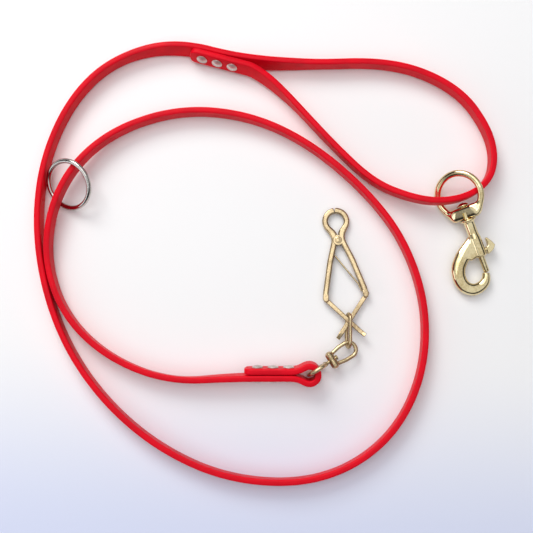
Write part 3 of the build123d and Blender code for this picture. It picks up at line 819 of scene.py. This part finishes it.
@dataclass
class BoltSnap:
    """The swivel bolt snap: ring, hook, bolt, thumb piece and spring."""

    place: Place
    ring_radius: float = 15.2
    ring_wide: float = 4.6
    ring_thick: float = 3.8
    ring_tilt: float = 32.0
    block_near: float = 8.3
    block_far: float = 17.6
    barrel: float = 8.6
    neck: float = 7.4
    bolt: float = 4.1
    bore: float = 2.1
    pin_hole: float = 2.55
    block_near_corner: float = 12.9
    block_far_corner: float = 19.4
    block_draw: float = 4.4
    block_thick: float = 7.6
    swell_half_angle: float = 26.0
    swell_fade_angle: float = 30.0
    joint_ahead: float = 12.0

    def build_eye(self) -> None:
        """The ring, whose section swells into the swivel's block.

        The swell is a smooth step of the angle from the swivel's side: radial size and thickness
        grow from the wire's to the block's, and the middle moves so that the outside stays fair.
        """
        place = self.place.rolled(self.ring_tilt)
        turn = np.radians(np.linspace(-180, 180, 241)[:-1])
        swell = fade(np.abs(np.degrees(turn)) - self.swell_half_angle, self.swell_fade_angle)
        thick = self.ring_thick + (self.block_thick - self.ring_thick) * swell
        cosine = np.maximum(np.cos(turn), 0.2)
        inner = (self.ring_radius - self.ring_wide / 2) - self.block_draw * swell
        outer = self.ring_radius + self.ring_wide / 2
        far = np.minimum(self.block_far / cosine, self.block_far_corner)
        outer = np.where(swell > 0, outer + (far - outer) * swell, outer)
        near = np.minimum(self.block_near / cosine, self.block_near_corner)
        inner = np.where(swell > 0, inner * (1 - swell) + near * swell, inner)
        middle, wide = (inner + outer) / 2, outer - inner
        ring = np.stack([middle * np.cos(turn), middle * np.sin(turn)], -1)
        power = (1.0 - 0.45 * swell)[:, None]
        angle = np.linspace(0, 2 * math.pi, 36, endpoint=False)[None, :]
        across = np.sign(np.cos(angle)) * np.abs(np.cos(angle)) ** power * wide[:, None] / 2
        over = np.sign(np.sin(angle)) * np.abs(np.sin(angle)) ** power * thick[:, None] / 2
        radial = np.stack([np.cos(turn), np.sin(turn)], -1) @ np.stack([place.x, place.y])
        surface = carried(place.flat(ring), radial, np.broadcast_to(place.z, radial.shape),
                          np.stack([across, over], -1) * MM, wrap=True)
        eye = cast("snap_ring_cast", surface, 0.28, 2)
        notch = place.slab(np.array([(12.6, -1.0), (18.6, -1.0), (18.6, 1.4), (12.6, 1.4)]), 1.6, 6.0, 0.05)
        eye = combined(combined(eye, notch), self.place.bore(3.0, 19.0, self.pin_hole, "x", 40))
        settle(eye, "snap_ring", Finish.SNAP, ("snap_eye",), sharp=50.0)

    def build_body(self) -> None:
        """Swivel pin, neck, barrel and hook fused as one casting, then bored and slotted."""
        place = self.place
        barrel, neck = self.barrel / 2, self.neck / 2
        head = dome(4.3, 7.4, 5.8)[::-1]
        profile = np.concatenate([head, np.array([
            (8.0, 4.3), (8.05, 2.45), (17.8, 2.45), (17.85, 5.2), (18.1, 5.5), (18.8, 5.5), (19.1, 5.2),
            (19.2, neck + 0.5), (19.7, neck + 0.5), (20.0, neck), (28.5, neck - 0.1), (31.5, barrel),
            (44.3, barrel), (45.0, barrel - 0.7), (45.0, 0.02)])])
        turned = place.turned(profile, "x", 72)
        rod = spaced(smoothed(np.array([
            (32.0, -1.5), (38.0, -8.9), (42.6, -14.0), (47.5, -17.8), (54.0, -19.4), (60.6, -18.0),
            (64.6, -13.2), (64.5, -7.4), (61.6, -2.9), (56.8, -0.6)])), 0.5)
        share = distances(rod) / distances(rod)[-1]
        wide = np.interp(share, (0, 0.22, 0.45, 0.72, 0.9, 1.0), (7.6, 10.2, 9.4, 8.4, 6.6, 4.9))
        high = np.interp(share, (0, 0.22, 0.45, 0.72, 0.9, 1.0), (5.4, 6.4, 6.7, 6.5, 5.8, 5.0))
        size = np.stack([wide, high], -1)[:, None] / 2
        outline = oval_outline(2.0, 2.0, 40)
        outline = np.sign(outline) * np.abs(outline) ** 0.86 * size
        hook = place.carried(rod, outline)
        shoulder = place.slab(np.array([(30.0, 2.6), (44.2, 1.6), (44.4, -3.4), (45.4, -7.4), (43.0, -11.6),
                                        (38.0, -10.2), (33.0, -5.6), (28.0, -2.8)]), -2.85, 2.85, 1.2)
        body = cast("snap_hook_cast", turned.joined(hook, shoulder), 0.30, 4)
        bore = place.bore(20.0, 46.0, self.bore, "x", 48)
        slot = place.slab(np.array([(28.8, 0.5), (43.2, 0.5), (43.2, 8.0), (28.8, 8.0)]), -1.6, 1.6, 0.02)
        settle(combined(combined(body, bore), slot), "snap_hook", Finish.SNAP, ("snap_body",), sharp=50.0)

    def build_bolt(self) -> None:
        """The sliding bolt and its thumb piece."""
        place = self.place
        radius = self.bolt / 2
        profile = np.array([(37.0, 0.02), (37.0, radius - 0.3), (37.3, radius), (55.7, radius),
                            (56.1, radius - 0.25), (56.3, radius - 0.6), (56.3, 0.02)])
        settle(mesh_object("snap_bolt_turned", place.turned(profile, "x", 56)), "snap_bolt", Finish.SNAP,
               ("snap_plunger",))
        pad = place.slab(spaced(np.array([(33.7, 7.7), (36.9, 9.9), (40.3, 11.5), (42.4, 10.2), (43.7, 8.6),
                                          (45.1, 5.0), (40.0, 5.0), (39.0, 7.0), (34.4, 6.8), (33.7, 7.7)]),
                                0.6)[:-1], -2.2, 2.2, 0.5)
        stem = Place(place.moved(41.5).origin, place.y, place.z, place.x)
        rod = stem.turned([(1.6, 0.02), (1.6, 1.45), (6.5, 1.45), (6.5, 0.02)], "x", 32)
        knob = cast("snap_thumb_wedge", pad.joined(rod), 0.16, 3)
        settle(knob, "snap_bolt", Finish.SNAP, ("snap_thumb_knob",), sharp=55.0)

    def build_spring(self) -> None:
        """The coil behind the bolt: a round wire on a helix."""
        turn = np.linspace(0, 2 * math.pi * 12, 12 * 28)
        along = 20.4 + 16.2 * turn / turn[-1]
        radius = 1.66
        line = self.place.world(np.stack([along, radius * np.cos(turn), radius * np.sin(turn)], -1))
        out = np.cos(turn)[:, None] * self.place.y + np.sin(turn)[:, None] * self.place.z
        over = np.broadcast_to(self.place.x, out.shape)
        surface = carried(line, out, over, oval_outline(0.5, 0.5, 10) * MM)
        spring = mesh_object("snap_spring_coil", surface)
        settle(spring, "snap_hook", Finish.SPRING, ("snap_spring",), sharp=80.0)
        anchor = self.place.world(np.array([20.05, 0.0, 0.0]))
        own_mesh(spring)

    def build(self) -> None:
        """All of the snap."""
        self.build_eye()
        self.build_body()
        self.build_bolt()
        self.build_spring()


@dataclass
class SwivelAndLink:
    """The wire swivel in the strap's fold and the long link on its eye."""

    place: Place
    wire: float = 2.8
    link_wire: float = 2.4
    link_length: float = 25.3
    link_height: float = 10.4
    link_heading: float = 89.1
    link_lean: float = 15.0

    def build_strap_eye(self) -> None:
        """The tall eye, a closed rounded rectangle of wire, with the pin through the collar."""
        place = self.place
        upright = Place(place.origin, place.x, place.z, -place.y)
        loop = rounded_wire([(-18.6, 8.7), (-18.6, -8.5), (-6.2, -8.5), (-6.2, 8.7)], 5.0, closed=True)
        loop = spaced_loop(loop, 0.5)
        wire = upright.carried(loop, oval_outline(self.wire, self.wire, 24), wrap=True)
        shape = [(-6.4, 0.02), (-6.4, 1.9), (-5.2, 1.8), (-4.2, 1.2), (3.1, 1.2), (3.1, 1.6),
                 (3.4, 1.9), (3.9, 1.8), (4.3, 1.1), (4.35, 0.02)]
        pin = place.turned(shape, "x", 40)
        eye = cast("swivel_strap_wire", wire.joined(pin), 0.20, 2)
        settle(eye, "swivel_base", Finish.WIRE, ("swivel_strap_eye",), sharp=60.0)

    def build_link_eye(self) -> None:
        """The crossbar collar and the open teardrop of wire."""
        place = self.place
        cross = Place(place.origin, place.y, -place.x, place.z)
        ends = dome(2.3, 5.2, 6.3)
        waist = [(-4.8, 2.7), (-2.6, 2.8), (0, 2.65), (2.6, 2.8), (4.8, 2.7)]
        profile = np.concatenate([ends[::-1] * (-1, 1), waist, ends])
        bar = cross.turned(profile, "x", 44)
        corners = [(0.3, -3.6), (8.6, -5.1), (18.6, -5.1), (18.6, 5.1), (8.6, 5.1), (0.3, 3.6)]
        route = rounded_wire(corners, 4.9)
        wire = place.carried(spaced(route, 0.5), oval_outline(self.wire, self.wire, 24))
        eye = cast("swivel_link_wire", bar.joined(wire), 0.20, 3)
        hole = [(-4, 0.01), (-4, 1.25), (2.9, 1.25), (2.95, 2.05), (5.0, 2.05), (5.0, 0.01)]
        bore = place.turned(hole, "x", 32)
        settle(combined(eye, bore), "swivel_head", Finish.WIRE, ("swivel_link_eye",), sharp=60.0)

    def build_link(self) -> None:
        """The long closed link of round wire, leaning on its edge."""
        low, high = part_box("clip_link")
        centre = np.array((low + high) / 2) / MM
        turn, lean = math.radians(self.link_heading), math.radians(self.link_lean)
        along = np.array([math.cos(turn), math.sin(turn), 0.0])
        level = math.cos(lean)
        normal = np.array([math.sin(turn) * level, -math.cos(turn) * level, -math.sin(lean)])
        place = Place.along(centre, along, normal)
        radius = (self.link_height - self.link_wire) / 2
        half = (self.link_length - self.link_wire) / 2 - radius
        loop = np.concatenate([arc((half, 0), radius, -90, 90, 28), arc((-half, 0), radius, 90, 270, 28)])
        loop = spaced_loop(loop, 0.5)
        surface = place.carried(loop, oval_outline(self.link_wire, self.link_wire, 24), wrap=True)
        settle(mesh_object("long_link_wire", surface), "link", Finish.WIRE, ("clip_link",))

    def build(self) -> None:
        """Both eyes and the link."""
        self.build_strap_eye()
        self.build_link_eye()
        self.build_link()


@dataclass
class ScissorClip:
    """The flat cast clip: two crossing halves, pivot rivet and leaf spring."""

    place: Place
    thick: float = 4.0
    pivot: float = 13.6
    corner: float = 54.4
    crossing: float = 70.4
    lug: float = 3.7
    leg: float = 4.0
    edge: float = 1.15
    reach: float = 36.0
    hole: float = 1.8
    sink: float = 2.5

    def half(self, hand: int) -> Surface:
        """Shells of one half: eye, waist, leg, corner and blade. Hand is -1 for left and 1 for right."""
        place = self.place
        ring = arc((0, 0), 7.5, 178 if hand > 0 else 182, 45 if hand > 0 else 315, 40)
        neck = np.array([(8.6, hand * 3.2), (11.0, hand * 2.55), (13.5, hand * 2.75), (15.6, hand * 3.3)])
        leg = np.array([(28.0, hand * 7.7), (42.0, hand * 11.5), (49.5, hand * 13.5),
                        (self.corner - 2.0, hand * 13.9)])
        line = spaced(smoothed(spaced(np.concatenate([ring, neck, leg]), 3.0), 6), 0.5)
        width = self.leg + 0.9 * fade(np.abs(line[:, 0] - 9.0), 5.0) - 0.1 * fade(line[:, 0] * -1 + 50, 20)
        stations = np.repeat(rounded_outline(self.leg, self.thick, self.edge, 5)[None], len(line), 0)
        stations[:, :, 0] *= (width / self.leg)[:, None]
        frame = place.carried(line, stations, self.thick / 2)
        knee = place.slab(np.array([(self.corner - 4.0, hand * 11.6), (self.corner - 4.6, hand * 15.2),
                                    (self.corner - 1.6, hand * 16.1), (self.corner + 0.9, hand * 15.2),
                                    (self.corner + 1.0, hand * 12.9), (self.corner - 1.2, hand * 11.9)]),
                          0.0, self.thick, 0.4)
        aim = math.atan2(13.5, self.crossing - self.corner)
        way = np.array([math.cos(aim), -hand * math.sin(aim)])
        start = np.array([self.corner - 0.3, hand * 13.75])
        low = 2.0 if hand < 0 else 0.4
        along = np.linspace(0, self.reach, 60)
        blade_line = start + along[:, None] * way
        taper = 1.0 - 0.10 * fade(self.reach - along, 6.0)
        blade_outline = np.repeat(rounded_outline(3.1, 1.4, 0.35, 4)[None], 60, 0)
        blade_outline[:, :, 0] *= taper[:, None]
        rise = 1.5 * np.clip((along - self.reach + 5.5) / 5.5, 0, 1) ** 1.6
        blade = place.carried(blade_line, blade_outline, low + 0.7 + rise)
        return frame.joined(knee, blade)

    def disc(self, hand: int) -> Surface:
        """The lug round the pivot, in the lower half of the thickness on the left, the upper on the right."""
        middle = self.thick / 2
        low, high = (0.0, middle - 0.1) if hand < 0 else (middle + 0.1, self.thick)
        return self.place.slab(circle(self.pivot, self.lug, 64), low, high, 0.25)

    def build_half(self, hand: int) -> None:
        """Fuses one half, relieves it for the other's lug and adds its own lug."""
        place = self.place
        name = "left" if hand < 0 else "right"
        made = cast(f"clip_{name}_cast", self.half(hand), 0.22, 2)
        away = (self.thick / 2 - 0.1, self.thick + 1) if hand < 0 else (-1.0, self.thick / 2 + 0.1)
        relief = place.slab(circle(self.pivot, self.lug + 0.15, 64), *away, 0.02)
        made = combined(made, relief)
        made = combined(made, self.disc(hand), "UNION")
        pivot = place.moved(self.pivot)
        made = combined(made, pivot.bore(-1, 6, self.hole, "z", 40))
        if hand < 0:
            made = combined(made, pivot.bore(-1, 0.7, self.sink, "z", 40))
        settle(made, f"clip_{name}", Finish.CLIP, (f"clip_{name}_half",), sharp=45.0)

    def build_rivet(self) -> None:
        """The pivot rivet with a ring mark in its head."""
        pin, top = 1.75, self.thick
        profile = np.array([(0.1, 0.02), (0.1, 2.3), (0.2, 2.4), (0.6, 2.4), (0.62, pin), (top + 0.1, pin),
                            (top + 0.1, 2.4), (top + 0.3, 2.4), (top + 0.42, 2.2), (top + 0.48, 1.75),
                            (top + 0.36, 1.6), (top + 0.36, 1.4), (top + 0.58, 1.25), (top + 0.68, 0.7),
                            (top + 0.74, 0.02)])
        surface = self.place.moved(self.pivot).turned(profile, "z", 56)
        settle(mesh_object("clip_pivot_rivet", surface), "clip_pivot", Finish.CLIP, ("clip_rivet",))

    def build_spring(self) -> None:
        """The leaf spring from the right leg across to the left."""
        line = rounded_wire([(24.0, -3.8), (36.8, 4.1), (45.4, 9.7), (50.8, 11.15)], 9.0)
        surface = self.place.carried(spaced(line, 0.5), rounded_outline(0.95, 2.8, 0.3, 4), 2.0)
        spring = mesh_object("clip_leaf_strip", surface)
        settle(spring, "clip_right", Finish.CLIP, ("clip_leaf_spring",))
        anchor = self.place.world(np.array([50.8, 11.3, 2.0]))
        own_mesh(spring)

    def build(self) -> None:
        """All of the clip."""
        self.build_half(-1)
        self.build_half(1)
        self.build_rivet()
        self.build_spring()


# ---------------------------------------------------------------- studio


@dataclass(frozen=True)
class Studio:
    """Pale floor, soft light from beyond the handle and a camera overhead."""

    eye: tuple[float, float, float] = (0.0093, -0.0628, 0.590)
    aim: tuple[float, float, float] = (0.0006, -0.0051, 0.0)
    view: float = 34.93

    def camera(self) -> None:
        """Camera over the leash with the top of its picture toward the handle."""
        data = bpy.data.cameras.new("overhead")
        data.sensor_fit, data.angle = "HORIZONTAL", math.radians(self.view)
        data.clip_start, data.clip_end = 0.01, 20.0
        camera = in_scene("overhead", data)
        look = (Vector(self.aim) - Vector(self.eye)).normalized()
        right = look.cross(Vector((0, 1, 0))).normalized()
        up = right.cross(look)
        turn = Matrix((right, up, -look)).transposed().to_4x4()
        camera.matrix_world = Matrix.Translation(self.eye) @ turn
        bpy.context.scene.camera = camera

    def lamp(self, name: str, at: tuple[float, float, float], size: float, power: float,
             tint: tuple[float, float, float]) -> None:
        """One square soft light aimed at the leash."""
        data = bpy.data.lights.new(name, "AREA")
        data.size, data.energy, data.color = size, power, tint
        lamp = in_scene(name, data)
        lamp.location = at
        lamp.rotation_mode = "QUATERNION"
        lamp.rotation_quaternion = (-Vector(at)).to_track_quat("-Z", "Y")

    def world(self) -> None:
        """A pale room that darkens between the ceiling and the horizon, for reflections."""
        world = bpy.data.worlds.new("room")
        bpy.context.scene.world = world
        world.use_nodes = True
        tree = world.node_tree
        back = next(n for n in tree.nodes if n.type == "BACKGROUND")
        where = tree.nodes.new("ShaderNodeTexCoord")
        split = tree.nodes.new("ShaderNodeSeparateXYZ")
        ramp = tree.nodes.new("ShaderNodeValToRGB")
        stops = ((0.0, (0.8, 0.8, 0.85)), (0.20, (0.75, 0.76, 0.82)), (0.30, (0.03, 0.025, 0.025)),
                 (0.60, (0.05, 0.045, 0.045)), (0.72, (0.95, 0.96, 1.0)), (1.0, (1.0, 1.0, 1.0)))
        while len(ramp.color_ramp.elements) < len(stops):
            ramp.color_ramp.elements.new(0.5)
        for element, (place, colour) in zip(ramp.color_ramp.elements, stops):
            element.position, element.color = place, (*colour, 1.0)
        tree.links.new(where.outputs["Generated"], split.inputs[0])
        tree.links.new(split.outputs["Z"], ramp.inputs[0])
        tree.links.new(ramp.outputs[0], back.inputs[0])
        back.inputs[1].default_value = 0.8

    def floor(self) -> None:
        """A wide floor just under the leash, whiter beyond the handle and faintly lavender nearer."""
        steps = np.linspace(-2.0, 2.0, 9)
        x, y = np.meshgrid(steps, steps, indexing="ij")
        points = np.stack([x, y, np.full_like(x, -0.0002)], -1).reshape(-1, 3)
        row, column = np.meshgrid(np.arange(8), np.arange(8), indexing="ij")
        first = (row * 9 + column).ravel()
        faces = np.stack([first, first + 9, first + 10, first + 1], -1).tolist()
        mesh = bpy.data.meshes.new("floor")
        mesh.from_pydata(points.tolist(), [], faces)
        floor = in_scene("floor", mesh)
        graph = Graph("pale_floor", {"Roughness": 0.6, "Specular IOR Level": 0.2})
        where = graph.node("ShaderNodeTexCoord", {}, {}, "Object")
        spread = graph.node("ShaderNodeSeparateXYZ", {}, {0: where})
        north = spread.output(1)
        share = (north + spread * 0.05).step(-0.21, -0.05)
        graph.link("Base Color", graph.mix(share, (0.70, 0.75, 0.94), (0.95, 0.95, 0.95)))
        mesh.materials.append(graph.material)

    def build(self) -> None:
        """Camera, room, floor and lights."""
        self.camera()
        self.world()
        self.floor()
        self.lamp("window", (-0.45, 0.95, 0.95), 0.7, 10.5, (1.0, 0.99, 0.97))
        self.lamp("overhead_panel", (-0.1, 0.25, 1.4), 0.8, 3.0, (0.98, 0.98, 1.0))
        self.lamp("side_fill", (-0.9, -0.3, 0.5), 0.5, 1.2, (0.95, 0.95, 1.0))
        settings = bpy.context.scene.view_settings
        settings.view_transform, settings.look, settings.exposure = "Standard", "None", 0.0


def joint_place(joints: list[dict], turning: str, back: float) -> Place:
    """Frame of a swivel: x along the joint's axis, origin set back from its point along the axis."""
    joint = next(j for j in joints if j["name"] == turning)
    axis = np.array(joint["axis"], float)
    origin = np.array(joint["pos_m"], float) / MM - axis * back
    return Place.along(origin, axis, np.array([0.0, 0.0, 1.0]))


def clip_place(joints: list[dict], pivot: float, thick: float) -> Place:
    """Frame of the clip: x from its eye toward its blades, z up through its thickness."""
    hinge = next(j for j in joints if j["name"] == "left_squeeze")
    slide = next(j for j in joints if j["name"] == "clip_shift")
    origin = np.array(hinge["pos_m"], float) / MM
    place = Place.along(origin, np.array(slide["axis"]), np.array(hinge["axis"]))
    return place.moved(-pivot, 0.0, -thick / 2)


def main() -> None:
    """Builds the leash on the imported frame."""
    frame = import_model()
    joints = frame["joints"]
    Studio().build()
    strap = Strap()
    strap.build()
    RivetRows(strap).build()
    LooseRing().build()
    BoltSnap(joint_place(joints, "snap_swivel", BoltSnap.joint_ahead)).build()
    SwivelAndLink(joint_place(joints, "clip_swivel", 0.0)).build()
    ScissorClip(clip_place(joints, ScissorClip.pivot, ScissorClip.thick)).build()


if __name__ == "__main__":
    main()
